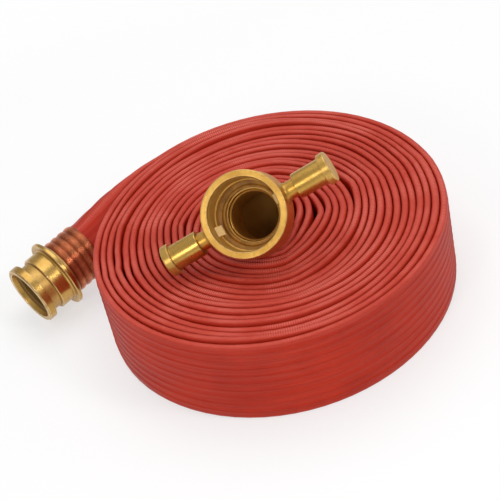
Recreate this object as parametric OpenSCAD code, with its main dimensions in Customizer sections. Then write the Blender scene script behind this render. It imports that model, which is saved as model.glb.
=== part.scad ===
// Rolled delivery hose: a 63 mm lay-flat fire hose wound on its edge, with a male coupling on the outer end
// and a female coupling with two spring lugs on the inner end, which lies on top of the roll.
// Origin: the roll's axis at floor level. +Z up, +X to the right and +Y to the back of the roll.

/* [Hose] */
// Width of the hose when it lies flat, which is the height of the roll
hose_w = 104; // [100:1:108]
// Thickness of the hose when it lies flat
hose_t = 6.6; // [6.2:0.1:7]
// Wall of the woven and coated jacket
jacket_wall = 1.6; // [1.4:0.1:1.8]
// Wall of the rubber lining
lining_wall = 0.7; // [0.5:0.1:0.8]

/* [Roll] */
// Radius of the hose's middle line where the outer end leaves the roll
roll_r = 196; // [194:0.1:200]
// Radius of the hose's middle line at the innermost turn
core_r = 50; // [49:0.1:51]
// Number of turns from the core to the outer end
turns = 18.82; // [18.8:0.01:18.84]
// Direction from the axis at which the outer end leaves the roll
leave_angle = 123; // [122:0.5:124]
// How far the outermost turn bulges out of round, towards the back right and the front left
roll_oval = 3.4; // [0:0.1:4]

/* [Male coupling] */
// Radius of the lip that the teeth lock behind
lip_r = 36.5; // [36:0.1:36.7]
// Radius of the groove that the teeth drop into
groove_r = 30.5; // [30:0.1:31.5]
// Radius of the band between groove and flange
band_r = 34; // [33:0.1:35]
// Radius of the flange
flange_r = 42; // [40:0.1:42]
// Distance from the nose to the flange
flange_at = 40; // [39:0.1:41]
// Radius of the waterway in both couplings
water_r = 26; // [25:0.1:26.4]

/* [Female coupling] */
// Outer radius of the cup
cup_r = 47; // [46.5:0.1:47.5]
// Radius of the mouth at the rim
mouth_r = 39.8; // [39.5:0.1:40.5]
// Radius of the entry bore, which the teeth reach into
entry_r = 38.5; // [38.2:0.1:38.8]
// Radius of the seat bore, which guides the lip
seat_r = 37; // [36.9:0.1:37.2]
// Depth of the lug axis below the rim
lug_depth = 21; // [20.5:0.1:21]

/* [Lugs] */
// Reach of the tooth tip from the cup's axis at rest
tooth_at = 33; // [32.5:0.1:33.5]
// Width of the tooth around the cup
tooth_w = 11; // [9:0.1:11]
// Height of the tooth along the cup's axis
tooth_h = 9; // [7:0.1:9]
// Radius of the boss that carries the knob
boss_r = 10; // [9.8:0.1:10.1]
// Radius of the knob's sleeve
sleeve_r = 14.2; // [13:0.1:15]
// Radius of the knob's head
head_r = 17.6; // [16:0.1:17.6]

/* [Hidden] */
$fn = 96;

red = [0.74, 0.24, 0.2];
rubber = [0.1, 0.1, 0.1];
amber = [0.5, 0.36, 0.14];
brass = [0.75, 0.58, 0.28];
copper = [0.66, 0.34, 0.2];
steel = [0.65, 0.66, 0.68];

// Places of the two couplings: the point at the middle of the open face, and the way it faces.
male_nose = [-285.7, 49, 36.7];
male_heading = 213;
male_elevation = -7.5;
female_mouth = [-25.4, -68.5, 173.5];
female_heading = 250.5;
female_elevation = 41;
lug_turn = 118.7;

// The roll: a spiral of even pitch, drawn with straight steps that lie in line from turn to turn.
// The outermost turn is slack: it keeps its radius until it has to dip under the end that leaves the roll.
// Going outwards, the turns stray from round: they bulge along one direction and shift to the back left.
pitch = (roll_r - core_r) / turns;
slack_to = 0.75;
slack_end = 1.05;
oval_angle = 50;
roll_shift = [-1, 1.5];
step_angle = 9;
start_angle = leave_angle - 360 * turns;
steps = ceil(360 * turns / step_angle);
mid_z = hose_w / 2;
end_over = 0.05;

// Clearance between lining and jacket, and the wall of both together.
slip = 0.05;
hose_wall = jacket_wall + slip + lining_wall;

// The tails that the hose is tied on.
tail_r = 28.4;
tail_valley_r = 27.6;
tail_collar_r = 33.5;
male_collar_at = 49.5;
female_collar_at = 51;
tail_len = 42;
ridge_count = 4;
tied_t = 2 * (tail_r + 0.1 + hose_wall);

// The wire binding: close turns that follow the ridges of the tail.
wire_d = 1.25;
wire_turns = 29;
binding_start = 3;
binding_swell = 0.6;

// The cup's inside.
seat_from = 26.5;
seat_to = 36.5;
seal_r = 40.5;
seal_to = 42.3;
throat_r = 28.2;
throat_to = 48;

// The lugs, measured out from the cup's axis.
chamber_r = 7.5;
chamber_at = 48;
chamber_to = 80.6;
shoulder_r = 7.2;
shoulder_to = 51;
stem_r = 4;
stem_to = 98;
cap_at = 74;
cap_r = 7.45;
cap_bore_r = 4.1;
sleeve_at = 60;
sleeve_bore_r = boss_r + 0.3;
sleeve_bore_to = 88;
head_at = 93;
head_to = 102;
pin_at = 90.5;
pin_r = 1.5;
bore_gap = 0.05;
tooth_gap = 0.15;
spring_r = 5.6;
spring_wire_r = 0.6;
spring_turns = 7;
spring_sides = 8;
spring_steps = 16;

// Sections of the hose ends: the middle point and the thickness, from the roll to the coupling's tail.
outer_route = [
    [-124, 154, 52, 7.2],
    [-140.5, 143, 52, 11],
    [-157.5, 132.5, 51.5, 18],
    [-174, 121.5, 51, 30],
    [-191, 110.5, 50.5, 47],
];
inner_route = [
    [-50, 1, 52, 6.6],
    [-48.5, 13, 52.5, 6.6],
    [-42, 25, 53.5, 6.8],
    [-31, 36.5, 55.5, 7],
    [-16, 44, 58.5, 7.5],
    [-2, 46.5, 63, 8],
    [10, 44.5, 67.5, 9],
    [17.5, 40, 72, 11],
    [17.5, 33.5, 77.5, 15],
    [12.5, 26.5, 85, 24],
    [6.5, 18, 94, 37],
    [2, 8, 103.5, 52],
];
section_sides = 24;
guide_angle = 2;

function heading_dir(heading, elevation) =
    [cos(elevation) * cos(heading), cos(elevation) * sin(heading), sin(elevation)];
function unit(v) = v / norm(v);
function mix(a, b, f) = a * (1 - f) + b * f;

function slack(back) =
    back > slack_end ? 0
    : back < slack_to ? pitch * back
    : pitch * slack_to * pow(cos(90 * (back - slack_to) / (slack_end - slack_to)), 2);
function stray(a) = roll_oval * cos(2 * (a - oval_angle)) + roll_shift * [cos(a), sin(a)];
function spiral_r(a) =
    let (back = (leave_angle - a) / 360)
    roll_r - pitch * back + slack(back) + stray(a) * (1 - back / turns);
function spiral_point(a, offset) = (spiral_r(a) + offset) * [cos(a), sin(a)];
// The point at the angle to, carried on by a share of the straight step that leads there.
function spiral_end_point(from, to, offset, over) =
    mix(spiral_point(from, offset), spiral_point(to, offset), 1 + over);
function spiral_side(offset, over) = [
    spiral_end_point(leave_angle - step_angle, leave_angle, offset, over),
    for (i = [1:steps - 1]) spiral_point(leave_angle - step_angle * i, offset),
    spiral_end_point(leave_angle - step_angle * (steps - 1), start_angle, offset, over),
];
function reversed(list) = [for (i = [len(list) - 1:-1:0]) list[i]];

// Hose section: a slot shape of thickness t. Its outline is as long as that of the flat hose, and is drawn
// in to that of the tied hose as t grows.
function roundness(t) = (t - hose_t) / (tied_t - hose_t);
function outline_len(t) =
    mix(2 * (hose_w - hose_t) + PI * hose_t, PI * tied_t, roundness(t));
function section_w(t) = t + (outline_len(t) - PI * t) / 2;

// A ring of points round a route point. A flat hose stands upright, and a round one is square to its route.
function section_ring(route, i, inset) =
    let (
        t = route[i][3],
        here = [route[i].x, route[i].y, route[i].z],
        before = route[i - 1],
        after = route[min(i + 1, len(route) - 1)],
        along = unit([after.x - before.x, after.y - before.y, after.z - before.z]),
        side = unit(cross(along, [0, 0, 1])),
        square = cross(side, along),
        up = unit(mix([0, 0, 1], square, roundness(t))),
        r = t / 2 - inset,
        straight = (section_w(t) - t) / 2
    )
    [for (j = [0:section_sides - 1])
        let (a = 360 * (j + 0.5) / section_sides)
        here + side * r * cos(a) + up * (r * sin(a) + straight * sign(sin(a)))];

// A hollow sleeve along a route, between two insets from the hose's outer face. The route's first point
// lies on the roll, and only sets the way the first ring faces.
module hose_sleeve(route, outer_inset, inner_inset) {
    n = section_sides;
    rings = len(route) - 1;
    inner = n * rings;
    points = [
        for (inset = [outer_inset, inner_inset])
            for (i = [1:rings])
                each section_ring(route, i, inset)
    ];
    sides = [
        for (i = [0:rings - 2])
            for (j = [0:n - 1])
                let (a = i * n + j, b = i * n + (j + 1) % n)
                each [[a, b, b + n], [a, b + n, a + n],
                      [inner + a, inner + b + n, inner + b], [inner + a, inner + a + n, inner + b + n]]
    ];
    ends = [
        for (j = [0:n - 1])
            let (a = j, b = (j + 1) % n, last = n * (rings - 1))
            each [[a, inner + b, b], [a, inner + a, inner + b],
                  [last + a, last + b, last + inner + b], [last + a, last + inner + b, last + inner + a]]
    ];
    polyhedron(points = points, faces = concat(sides, ends), convexity = 8);
}

// A stretch of the rolled hose, t thick, from inset above the floor to inset below the top.
module roll_strip(t, inset, over) {
    translate([0, 0, inset])
        linear_extrude(height = hose_w - 2 * inset)
            polygon(concat(spiral_side(t / 2, over), reversed(spiral_side(-t / 2, over))));
}

// A spiral tube pressed flat: an outer strip less the gap inside it, open at both ends.
module flat_spiral(inset, wall) {
    difference() {
        roll_strip(hose_t - 2 * inset, inset, 0);
        roll_strip(hose_t - 2 * (inset + wall), inset + wall, end_over);
    }
}

// Whole routes of the two ends, from the end of the spiral to the coupling's collar.
function tail_point(open_face, heading, elevation, back) =
    concat(open_face - back * heading_dir(heading, elevation), [tied_t]);
function spiral_end(a) = concat(spiral_point(a, 0), [mid_z, hose_t]);
outer_path = concat(
    [spiral_end(leave_angle - guide_angle), spiral_end(leave_angle)],
    outer_route,
    [for (back = [tail_len, tail_len / 2, 0])
        tail_point(male_nose, male_heading, male_elevation, male_collar_at + back)]
);
inner_path = concat(
    [spiral_end(start_angle + step_angle), spiral_end(start_angle)],
    inner_route,
    [for (back = [tail_len, tail_len / 2, 0])
        tail_point(female_mouth, female_heading, female_elevation, female_collar_at + back)]
);

module hose_roll() {
    color(red) flat_spiral(0, jacket_wall);
}

module hose_outer_end() {
    color(red) hose_sleeve(outer_path, 0, jacket_wall);
}

module hose_inner_end() {
    color(red) hose_sleeve(inner_path, 0, jacket_wall);
}

module lining_roll() {
    color(rubber) flat_spiral(jacket_wall + slip, lining_wall);
}

module lining_outer_end() {
    color(rubber) hose_sleeve(outer_path, jacket_wall + slip, hose_wall);
}

module lining_inner_end() {
    color(rubber) hose_sleeve(inner_path, jacket_wall + slip, hose_wall);
}

module at_male() {
    translate(male_nose)
        rotate([0, 90 - male_elevation, male_heading])
            children();
}

module at_female() {
    translate(female_mouth)
        rotate([0, 90 - female_elevation, female_heading])
            rotate([0, 0, lug_turn])
                children();
}

// Lugs are drawn along +X of the cup at the depth of their axis, and turned to their side.
module at_lug(turn) {
    at_female()
        rotate([0, 0, turn])
            translate([0, 0, -lug_depth])
                rotate([0, 90, 0])
                    children();
}

// Outline of a ridged tail behind a collar, down to its open end.
function tail_outline(collar_at) =
    let (ridge = tail_len / ridge_count)
    [
        [tail_collar_r, -collar_at],
        for (i = [0:ridge_count - 1])
            each [[tail_valley_r, -collar_at - ridge * i],
                  [tail_r, -collar_at - ridge * (i + 0.7)],
                  [tail_r, -collar_at - ridge * (i + 0.9)]],
        [tail_valley_r, -collar_at - tail_len],
        [water_r, -collar_at - tail_len],
    ];

module male_coupling_body() {
    lip_len = 10;
    groove_len = 12;
    flange_len = 5;
    edge = 0.8;
    nose_edge = 1.5;
    fillet = 2;
    nose_r = 31;
    throat_r = 29;
    throat_at = 7;
    water_at = 20;
    flange_back = flange_at + flange_len;
    band_at = lip_len + groove_len;
    color(brass)
        at_male()
            rotate_extrude()
                polygon(concat(
                    [[nose_r, 0], [lip_r - nose_edge, 0], [lip_r, -nose_edge], [lip_r, -lip_len],
                     [groove_r, -lip_len - edge], [groove_r, -band_at],
                     [band_r - edge, -band_at], [band_r, -band_at - edge],
                     [band_r, fillet - flange_at], [band_r + fillet, -flange_at],
                     [flange_r - edge, -flange_at], [flange_r, -flange_at - edge],
                     [flange_r, edge - flange_back], [flange_r - edge, -flange_back],
                     [tail_collar_r, -flange_back]],
                    tail_outline(male_collar_at),
                    [[water_r, -water_at], [throat_r, -throat_at]]
                ));
}

// Close turns of wire: a ridged sleeve that swells over each ridge of the tail.
module binding(collar_at) {
    inner_r = tied_t / 2 + 0.1;
    first = collar_at + binding_start;
    rotate_extrude()
        polygon(concat(
            [[inner_r, -first]],
            [for (i = [0:wire_turns - 1])
                let (
                    middle = i + 0.5,
                    swell = binding_swell * abs(sin(180 * ridge_count * middle / wire_turns)),
                    r = inner_r + wire_d / 2 + swell
                )
                each [[r, -first - wire_d * i - 0.1], [r + wire_d / 2, -first - wire_d * middle],
                      [r, -first - wire_d * (i + 1) + 0.1]]],
            [[inner_r, -first - wire_d * wire_turns]]
        ));
}

module male_binding_wire() {
    color(copper) at_male() binding(male_collar_at);
}

module female_binding_wire() {
    color(copper) at_female() binding(female_collar_at);
}

module female_coupling_body() {
    rim_edge = 1;
    lead_in = 5;
    step = 0.7;
    boss_root = 5;
    slot_len = 12;
    back_at = female_collar_at - 3;
    shoulder = [[0, 33], [3, 40], [9, 46]];
    color(brass)
        at_female()
            difference() {
                union() {
                    rotate_extrude()
                        polygon(concat(
                            [[mouth_r, 0], [cup_r - rim_edge, 0], [cup_r, -rim_edge],
                             for (s = shoulder) [cup_r - s.x, -s.y],
                             [tail_collar_r, -back_at]],
                            tail_outline(female_collar_at),
                            [[water_r, -throat_to], [throat_r, lead_in / 3 - throat_to], [throat_r, -seal_to],
                             [seal_r, -seal_to], [seal_r, -seat_to], [seat_r, -seat_to],
                             [seat_r, -seat_from], [entry_r, step - seat_from], [entry_r, -lead_in]]
                        ));
                    for (turn = [0, 180])
                        rotate([0, 0, turn])
                            translate([cup_r - boss_root, 0, -lug_depth])
                                rotate([0, 90, 0])
                                    cylinder(r = boss_r, h = chamber_to - cup_r + boss_root);
                }
                for (turn = [0, 180])
                    rotate([0, 0, turn])
                        translate([chamber_at, 0, -lug_depth]) {
                            rotate([0, 90, 0])
                                cylinder(r = chamber_r, h = chamber_to);
                            translate([-slot_len, -tooth_w / 2 - tooth_gap, -tooth_h / 2 - tooth_gap])
                                cube([slot_len + 1, tooth_w + 2 * tooth_gap, tooth_h + 2 * tooth_gap]);
                        }
            }
}

// Ring with a raised inner lip that the nose of the mating coupling presses on.
module mouth_seal() {
    outer_r = seal_r - 0.3;
    inner_r = throat_r + 1.6;
    top = -seat_to - 0.1;
    color(amber)
        at_female()
            rotate_extrude()
                polygon([[inner_r, 0.1 - seal_to], [outer_r, 0.1 - seal_to], [outer_r, top],
                         [seat_r + 0.8, top], [inner_r + 4, top - 2], [inner_r + 2, top],
                         [inner_r, top]]);
}

// Tooth with a bevel towards the mouth, a shoulder that stops it and a stem for the knob.
module plunger(turn) {
    bevel = 5;
    half_h = tooth_h / 2;
    color(brass)
        at_lug(turn)
            difference() {
                union() {
                    translate([0, tooth_w / 2, 0])
                        rotate([90, 0, 0])
                            linear_extrude(height = tooth_w)
                                polygon([[half_h, tooth_at], [half_h - 3, tooth_at],
                                         [-half_h, tooth_at + bevel], [-half_h, shoulder_to],
                                         [half_h, shoulder_to]]);
                    translate([0, 0, chamber_at + bore_gap])
                        cylinder(r = shoulder_r, h = shoulder_to - chamber_at - bore_gap);
                    translate([0, 0, chamber_at + 1])
                        cylinder(r = stem_r, h = stem_to - chamber_at - 1);
                }
                cross_hole(stem_r + 1);
            }
}

// Hole for the cross pin, through everything within half_len of the lug's axis.
module cross_hole(half_len) {
    translate([0, half_len, pin_at])
        rotate([90, 0, 0])
            cylinder(r = pin_r + bore_gap, h = 2 * half_len, $fn = 32);
}

module spring(turn) {
    gap = 0.2;
    low = shoulder_to + spring_wire_r + gap;
    high = cap_at - spring_wire_r - gap;
    rings = spring_turns * spring_steps;
    points = [
        for (i = [0:rings])
            let (a = 360 * i / spring_steps, z = mix(low, high, i / rings))
            for (j = [0:spring_sides - 1])
                let (b = 360 * j / spring_sides, r = spring_r + spring_wire_r * cos(b))
                [r * cos(a), r * sin(a), z + spring_wire_r * sin(b)]
    ];
    sides = [
        for (i = [0:rings - 1])
            for (j = [0:spring_sides - 1])
                let (a = i * spring_sides + j, b = i * spring_sides + (j + 1) % spring_sides)
                each [[a, b, b + spring_sides], [a, b + spring_sides, a + spring_sides]]
    ];
    ends = [
        [for (j = [spring_sides - 1:-1:0]) j],
        [for (j = [0:spring_sides - 1]) rings * spring_sides + j],
    ];
    color(steel) at_lug(turn) polyhedron(points = points, faces = concat(sides, ends), convexity = 8);
}

module spring_cap(turn) {
    slot_w = 1.6;
    slot_depth = 1.5;
    color(brass)
        at_lug(turn)
            translate([0, 0, cap_at])
                difference() {
                    cylinder(r = cap_r, h = chamber_to - cap_at);
                    translate([0, 0, -1])
                        cylinder(r = cap_bore_r, h = chamber_to - cap_at + 2, $fn = 48);
                    translate([-cap_r - 1, -slot_w / 2, chamber_to - cap_at - slot_depth])
                        cube([2 * cap_r + 2, slot_w, slot_depth + 1]);
                }
}

// Sleeve that slides over the boss, closed by a head that is gripped to draw the tooth back.
module pull_knob(turn) {
    edge = 1.2;
    bead = 0.6;
    color(brass)
        at_lug(turn)
            difference() {
                rotate_extrude()
                    polygon([[0, sleeve_at + 2], [sleeve_bore_r, sleeve_at], [sleeve_r - bead, sleeve_at],
                             [sleeve_r, sleeve_at + bead], [sleeve_r, head_at],
                             [head_r - bead, head_at], [head_r, head_at + bead],
                             [head_r, head_to - edge], [head_r - edge, head_to], [0, head_to]]);
                translate([0, 0, sleeve_at - 1])
                    cylinder(r = sleeve_bore_r, h = sleeve_bore_to - sleeve_at + 1);
                translate([0, 0, sleeve_bore_to - 1])
                    cylinder(r = stem_r + bore_gap, h = stem_to - sleeve_bore_to + 1.5, $fn = 48);
                cross_hole(sleeve_r + 1);
            }
}

module knob_pin(turn) {
    length = 2 * sleeve_r - 0.4;
    color(steel)
        at_lug(turn)
            translate([0, length / 2, pin_at])
                rotate([90, 0, 0])
                    cylinder(r = pin_r, h = length, $fn = 32);
}

hose_roll();
hose_outer_end();
hose_inner_end();
lining_roll();
lining_outer_end();
lining_inner_end();
male_coupling_body();
male_binding_wire();
female_coupling_body();
mouth_seal();
female_binding_wire();
plunger(180);  // left_plunger
spring(180);  // left_spring
spring_cap(180);  // left_spring_cap
pull_knob(180);  // left_pull_knob
knob_pin(180);  // left_knob_pin
plunger(0);  // right_plunger
spring(0);  // right_spring
spring_cap(0);  // right_spring_cap
pull_knob(0);  // right_pull_knob
knob_pin(0);  // right_knob_pin
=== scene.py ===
"""Looks of a rolled fire hose with its two couplings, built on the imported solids. Lengths are in metres."""

import bpy
import numpy as np
from mathutils import Matrix


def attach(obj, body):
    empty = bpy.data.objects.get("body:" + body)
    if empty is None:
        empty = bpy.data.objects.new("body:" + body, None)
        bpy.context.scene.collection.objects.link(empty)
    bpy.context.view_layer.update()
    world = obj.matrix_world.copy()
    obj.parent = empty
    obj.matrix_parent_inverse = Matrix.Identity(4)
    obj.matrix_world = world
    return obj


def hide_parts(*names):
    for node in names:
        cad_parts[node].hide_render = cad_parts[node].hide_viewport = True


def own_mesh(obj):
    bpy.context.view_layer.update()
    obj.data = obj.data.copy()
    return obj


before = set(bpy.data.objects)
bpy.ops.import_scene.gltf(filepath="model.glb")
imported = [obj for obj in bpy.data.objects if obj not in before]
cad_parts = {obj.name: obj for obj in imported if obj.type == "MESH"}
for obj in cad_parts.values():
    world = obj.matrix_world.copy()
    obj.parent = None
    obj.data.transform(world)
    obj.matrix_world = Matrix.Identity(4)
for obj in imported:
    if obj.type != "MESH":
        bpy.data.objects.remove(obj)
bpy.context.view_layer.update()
scene = bpy.context.scene
scene.view_settings.view_transform = "Standard"


# Camera
# A long lens looks down on the roll from the front. It is held a little askew, so that the roll leans to
# the left in the picture.
view_target = np.array([-0.02694, 0.01988, 0.052])
view_elevation = np.radians(39.42)
view_tilt = np.radians(-13.33)
view_distance = 1.8385
view_back = np.array([0, -np.cos(view_elevation), np.sin(view_elevation)])
level = np.array([1.0, 0, 0])
rise = np.cross(view_back, level)
camera_place = np.eye(4)
camera_place[:3, 0] = np.cos(view_tilt) * level + np.sin(view_tilt) * rise
camera_place[:3, 1] = np.cos(view_tilt) * rise - np.sin(view_tilt) * level
camera_place[:3, 2] = view_back
camera_place[:3, 3] = view_target + view_distance * view_back
camera = bpy.data.objects.new("camera", bpy.data.cameras.new("camera"))
camera.data.sensor_width = 36
camera.data.lens = 117.28
camera.matrix_world = Matrix(camera_place.tolist())
scene.collection.objects.link(camera)
scene.camera = camera


# Hose jacket
# A polyester tube, woven in the round and coated red, that lies flat when it is empty. It is wound on its
# edge from the female coupling outwards, and each end opens into a round sleeve on a coupling's tail.
hose_width = 0.104
hose_thickness = 0.0066
jacket_wall = 0.0016
tied_thickness = 0.0617
opening_thickness = 0.0078
flat_outline = 2 * (hose_width - hose_thickness) + np.pi * hose_thickness
tied_outline = np.pi * tied_thickness
# The roll. Its last turn keeps to the full radius for a while, and then eases into the spiral.
roll_radius = 0.196
core_radius = 0.050
roll_turns = 18.82
leave_angle = 123
level_turn = 0.75
level_ease = 0.3
roll_oval = 0.0034
oval_angle = 50
roll_shift = (-0.001, 0.0015)
roll_pitch = (roll_radius - core_radius) / roll_turns
# How it is packed: the thickness of the turns, the gaps between them and their height off the floor.
packed_thickness = 0.0070
thickness_stray = 0.0008
least_gap = 0.0001
gap_stray = 0.0005
snug_gap = 0.0003
floor_gap = 0.0003
rise_stray = 0.0020
rise_turn = 0.3
# Steps: in a turn while it is packed, then rings across the whole roll, and metres along the free ends.
turn_steps = 120
ease_steps = 11
spare_waves = 6
ring_count = 1130
end_spacing = 0.006
roll_steps = int(roll_turns * turn_steps)
# The couplings: the middle of the open face, its heading and elevation, and how far back the collar is.
male_nose = np.array([-0.2857, 0.049, 0.0367])
male_facing = (213, -7.5)
male_collar = 0.0495
female_mouth = np.array([-0.0254, -0.0685, 0.1735])
female_facing = (250.5, 41)
female_collar = 0.051
tail_length = 0.042
collar_gap = 0.0003
# The free ends between roll and tail: points on the middle of the hose, and its thickness there.
outer_route = [
    [-0.124, 0.154, 0.052, 0.0072],
    [-0.1405, 0.143, 0.052, 0.011],
    [-0.1575, 0.1325, 0.0515, 0.018],
    [-0.174, 0.1215, 0.051, 0.030],
    [-0.191, 0.1105, 0.0505, 0.047],
]
inner_route = [
    [-0.050, 0.001, 0.052, 0.0066],
    [-0.0485, 0.013, 0.0525, 0.0066],
    [-0.042, 0.025, 0.0535, 0.0068],
    [-0.031, 0.0365, 0.0555, 0.007],
    [-0.016, 0.044, 0.0585, 0.0075],
    [-0.002, 0.0465, 0.063, 0.008],
    [0.010, 0.0445, 0.0675, 0.009],
    [0.0175, 0.040, 0.072, 0.011],
    [0.0175, 0.0335, 0.0775, 0.015],
    [0.0125, 0.0265, 0.085, 0.024],
    [0.0065, 0.018, 0.094, 0.037],
    [0.002, 0.008, 0.1035, 0.052],
]
# How far the innermost turn strays from its circle, by direction in degrees: it is pushed in at the right.
core_bearings = [-172, -125, -95, -82, -68, -53, -28, -10, 8, 30, 50, 75, 100, 188]
core_strays = np.array([0, 1, 4, 3, -6, -14, -20, -19, -17, -12, -6, -1, 0, 0]) * 1e-3
# The place under the left knob, and how far from it the turns start to rise and are quite free to.
knob_spot = (-0.111, -0.054)
knob_room = (0.022, 0.065)
# Places where a turn stands off the one inside it: (turn, direction, half of the spread, gap in metres).
loose_spots = [
    (1, -20, 55, 0.0030),
    (2, -9, 30, 0.0060),
    (3, 14, 26, 0.0030),
    (7, 17, 18, 0.0045),
    (5, 163, 15, 0.0035),
    (11, -60, 30, 0.0012),
    (14, 200, 24, 0.0015),
    (15, 176, 34, 0.0020),
    (13, 85, 45, 0.0018),
    (10, 75, 40, 0.0014),
    (15, 70, 35, 0.0012),
]
# Sides where all the turns are fuller: (direction, half of the spread, added thickness in metres).
full_sides = [
    (-10, 75, 0.0009),
    (-145, 60, 0.0005),
]
# Places where one turn is fuller: (turn, direction, half of the spread, added thickness in metres).
full_spots = [
    (13, 168, 46, 0.0022),
    (14, 92, 60, 0.0034),
    (11, 60, 50, 0.0018),
    (16, -95, 60, 0.0022),
    (12, -110, 50, 0.0016),
    (8, -70, 45, 0.0016),
    (4, -95, 60, 0.0014),
    (7, 12, 40, 0.0014),
    (17, 20, 50, 0.0016),
    (9, 80, 45, 0.0012),
]


def facing(heading, elevation):
    """Unit vector of a heading in degrees from +X and an elevation in degrees above the floor."""
    turn, lift = np.radians([heading, elevation])
    return np.array([np.cos(lift) * np.cos(turn), np.cos(lift) * np.sin(turn), np.sin(lift)])


def unit(vectors):
    """Vectors divided by their lengths."""
    return vectors / np.linalg.norm(vectors, axis=-1, keepdims=True)


def wander(way, length, seed):
    """A wave between -1 and 1 that never repeats: the sum of sines near that length, with seeded starts,
    held in bounds by a hyperbolic tangent."""
    sine_count = 7
    chance = np.random.default_rng(seed)
    rates = chance.uniform(0.6, 1.7, sine_count) * 2 * np.pi / length
    starts = chance.uniform(0, 2 * np.pi, sine_count)
    return np.tanh(np.sin(way[:, None] * rates + starts).sum(1) / 2.2)


def off_by(bearings, direction, spread):
    """How far bearings are from a direction in degrees: 0 there, and 1 from a spread away."""
    return np.clip(np.abs((bearings - direction + 180) % 360 - 180) / spread, 0, 1)


def hump(bearings, direction, spread):
    """A squared cosine over bearings in degrees: 1 in a direction, and 0 from a spread away."""
    return np.cos(np.pi / 2 * off_by(bearings, direction, spread)) ** 2


def smooth_route(knots, spacing):
    """Points along a curve through the knots: between two of them a cubic, whose slope at a knot is the
    knots' own rate of change against the way along them."""
    knots = np.array(knots, float)
    way = np.append(0, np.cumsum(np.linalg.norm(np.diff(knots[:, :3], axis=0), axis=1)))
    slope = np.gradient(knots, way, axis=0)
    at = np.linspace(0, way[-1], int(way[-1] / spacing) + 1)
    i = np.clip(np.searchsorted(way, at, side="right") - 1, 0, len(way) - 2)
    span = (way[i + 1] - way[i])[:, None]
    f = (at - way[i])[:, None] / span
    return (
        (2 * f**3 - 3 * f**2 + 1) * knots[i]
        + (f**3 - 2 * f**2 + f) * span * slope[i]
        + (3 * f**2 - 2 * f**3) * knots[i + 1]
        + (f**3 - f**2) * span * slope[i + 1]
    )


def tail_knots(open_face, way_out, collar):
    """Three points on a coupling's axis along its tail, from the tail's end to the collar."""
    backs = collar + np.array([tail_length, tail_length / 2, collar_gap])
    points = open_face - backs[:, None] * facing(*way_out)
    return np.column_stack([points, np.full(len(backs), tied_thickness)])


# The roll, from the core outwards: each turn lies on the one inside it, as thick as both are there.
bearing = leave_angle - 360 / turn_steps * np.arange(roll_steps, -1, -1.0)
turn_back = (leave_angle - bearing) / 360
even_radius = roll_radius - roll_pitch * turn_back
level_rise = np.where(
    turn_back < level_turn,
    roll_pitch * turn_back,
    roll_pitch * level_turn * np.cos(np.pi / 2 * np.clip((turn_back - level_turn) / level_ease, 0, 1)) ** 2,
)
stray = roll_oval * np.cos(np.radians(2 * (bearing - oval_angle)))
stray += roll_shift[0] * np.cos(np.radians(bearing)) + roll_shift[1] * np.sin(np.radians(bearing))
true_radius = even_radius + level_rise + stray * (1 - turn_back / roll_turns)
roll_way = np.cumsum(even_radius) * np.radians(360 / turn_steps)
turn_number = np.arange(roll_steps + 1) // turn_steps
fold_thickness = packed_thickness + thickness_stray * wander(roll_way, length=0.55, seed=11)
for direction, spread, added in full_sides:
    fold_thickness += added * hump(bearing, direction, spread)
for turn, direction, spread, added in full_spots:
    fold_thickness += np.where(turn_number == turn, added * hump(bearing, direction, spread), 0)
turn_gap = least_gap + gap_stray * wander(roll_way, length=0.7, seed=12) ** 2
for turn, direction, spread, gap in loose_spots:
    turn_gap += np.where(turn_number == turn, gap * (1 - off_by(bearing, direction, spread)) ** 0.8, 0)
radius = even_radius + np.interp(bearing, core_bearings, core_strays, period=360)
ease = np.hanning(2 * ease_steps + 3)[1:-1]
ease /= ease.sum()
for start in range(turn_steps, roll_steps + 1, turn_steps):
    here = np.arange(start, min(start + turn_steps, roll_steps + 1))
    under = here - turn_steps
    laid = radius[under] + (fold_thickness[here] + fold_thickness[under]) / 2 + turn_gap[here]
    radius[here] = np.maximum(laid, np.convolve(np.pad(laid, ease_steps, "edge"), ease, "valid"))
# The spare room up to the outermost turn, as a few waves by direction, is shared out from turn to turn.
last = np.arange(roll_steps - 2 * turn_steps + 1, roll_steps - turn_steps + 1)
outermost = last + turn_steps
middles_apart = (fold_thickness[last] + fold_thickness[outermost]) / 2
snug_radius = true_radius[outermost] - middles_apart - snug_gap
waves = np.radians(bearing)[:, None] * np.arange(1, spare_waves + 1)
basis = np.column_stack([np.ones(roll_steps + 1), np.cos(waves), np.sin(waves)])
spare = np.linalg.lstsq(basis[last], snug_radius - radius[last], rcond=None)[0]
radius += basis @ spare * np.arange(roll_steps + 1) / last[-1]
radius[outermost] = np.maximum(true_radius[outermost], radius[last] + least_gap + middles_apart)
stand_height = (flat_outline - np.pi * fold_thickness) / 2 + fold_thickness
# Each turn stands a little off the floor, save under the left knob, which has room to be pulled.
from_knob = np.hypot(
    radius * np.cos(np.radians(bearing)) - knob_spot[0], radius * np.sin(np.radians(bearing)) - knob_spot[1]
)
free_share = np.clip((from_knob - knob_room[0]) / (knob_room[1] - knob_room[0]), 0, 1)
roll_rise = np.clip(turn_back - rise_turn, 0, 1) * (1 + wander(roll_way, length=0.6, seed=13))
roll_rise = free_share * (rise_stray * roll_rise + floor_gap)
# Rings across the roll, so far apart as the root of the radius, which keeps each turn equally round.
ring_share = np.cumsum(np.sqrt(radius))
ring_bearing, ring_radius, ring_height, ring_thickness = (
    np.interp(np.linspace(ring_share[0], ring_share[-1], ring_count), ring_share, values)
    for values in (bearing, radius, stand_height / 2 + roll_rise, fold_thickness)
)
roll_line = np.column_stack([
    ring_radius * np.cos(np.radians(ring_bearing)),
    ring_radius * np.sin(np.radians(ring_bearing)),
    ring_height,
    ring_thickness,
])

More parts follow.
